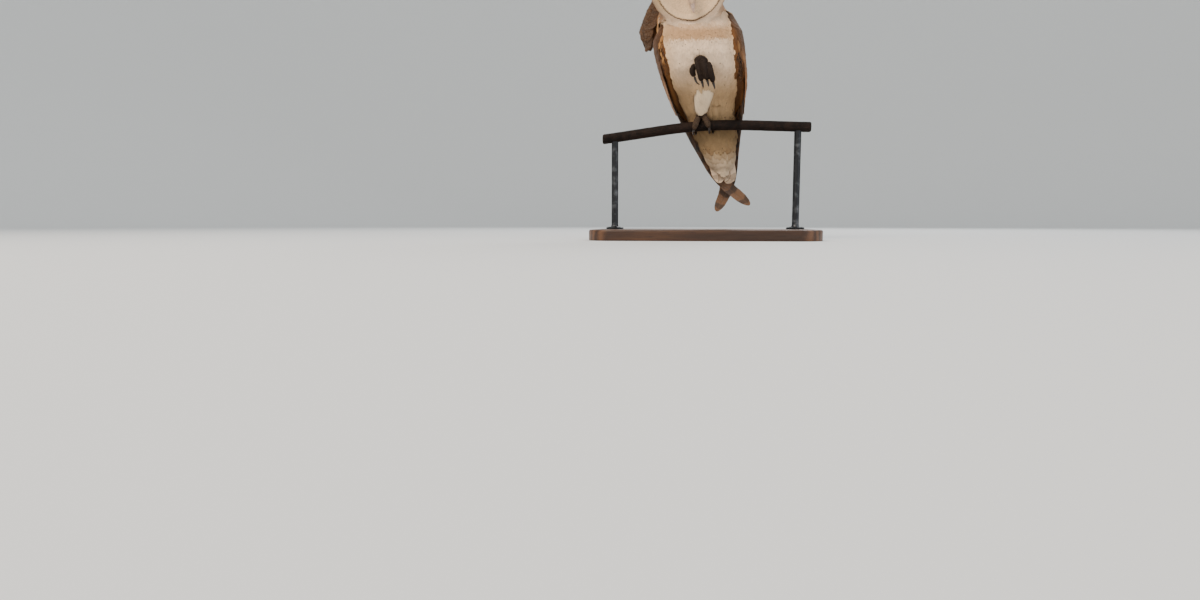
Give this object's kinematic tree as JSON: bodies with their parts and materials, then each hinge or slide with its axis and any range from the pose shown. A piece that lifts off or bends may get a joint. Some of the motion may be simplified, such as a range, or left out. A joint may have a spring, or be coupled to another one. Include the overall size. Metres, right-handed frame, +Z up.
{
  "type": "barn owl on a perch",
  "caption": "Life-size barn owl perched upright on one foot on a bent steel rod, the other foot tucked up and wing tips crossed below the tail, on a plain display stand.",
  "frame": {"origin": "centre of the underside of the display stand's base", "axes": "+Z up; -Y is the way the owl faces; +X is towards the owl's left side, along the perch"},
  "size_m": [0.32, 0.214, 0.4106],
  "materials": {
    "barred_plumage": "golden buff feathers with fine grey vermiculation and small dark and white spots",
    "flight_feathers": "buff-brown flight feathers with darker bars",
    "pale_plumage": "cream-white soft feathers with a few dark specks",
    "disc_plumage": "fine white radiating feathers with a dark tawny rim",
    "eye": "wet, glossy and nearly black",
    "bill_horn": "pale pinkish horn, satin",
    "toe_skin": "grey-brown scaly skin",
    "claw_horn": "dark horn, satin",
    "rusty_rod": "dark weathered steel with rust",
    "stand_steel": "dark satin steel",
    "stand_wood": "dark stained hardwood, satin varnish"
  },
  "bodies": {
    "root": {"wing_left": "barred_plumage", "wing_right": "barred_plumage", "scapulars_right": "barred_plumage", "head": "barred_plumage", "primaries_left": "flight_feathers", "primaries_right": "flight_feathers", "neck": "pale_plumage", "trunk": "pale_plumage", "tail": "pale_plumage", "shank_right": "pale_plumage", "shank_left": "pale_plumage", "facial_disc": "disc_plumage", "eye_left": "eye", "eye_right": "eye", "bill_upper": "bill_horn", "bill_lower": "bill_horn", "foot_right": "toe_skin", "foot_left": "toe_skin", "toe_right_1": "toe_skin", "toe_right_2": "toe_skin", "toe_right_3": "toe_skin", "toe_right_4": "toe_skin", "toe_left_1": "toe_skin", "toe_left_2": "toe_skin", "toe_left_3": "toe_skin", "toe_left_4": "toe_skin", "claw_right_1": "claw_horn", "claw_right_2": "claw_horn", "claw_right_3": "claw_horn", "claw_right_4": "claw_horn", "claw_left_1": "claw_horn", "claw_left_2": "claw_horn", "claw_left_3": "claw_horn", "claw_left_4": "claw_horn", "perch_rod": "rusty_rod", "stand_post_left": "stand_steel", "stand_post_right": "stand_steel", "stand_base": "stand_wood"}
  },
  "joints": []
}
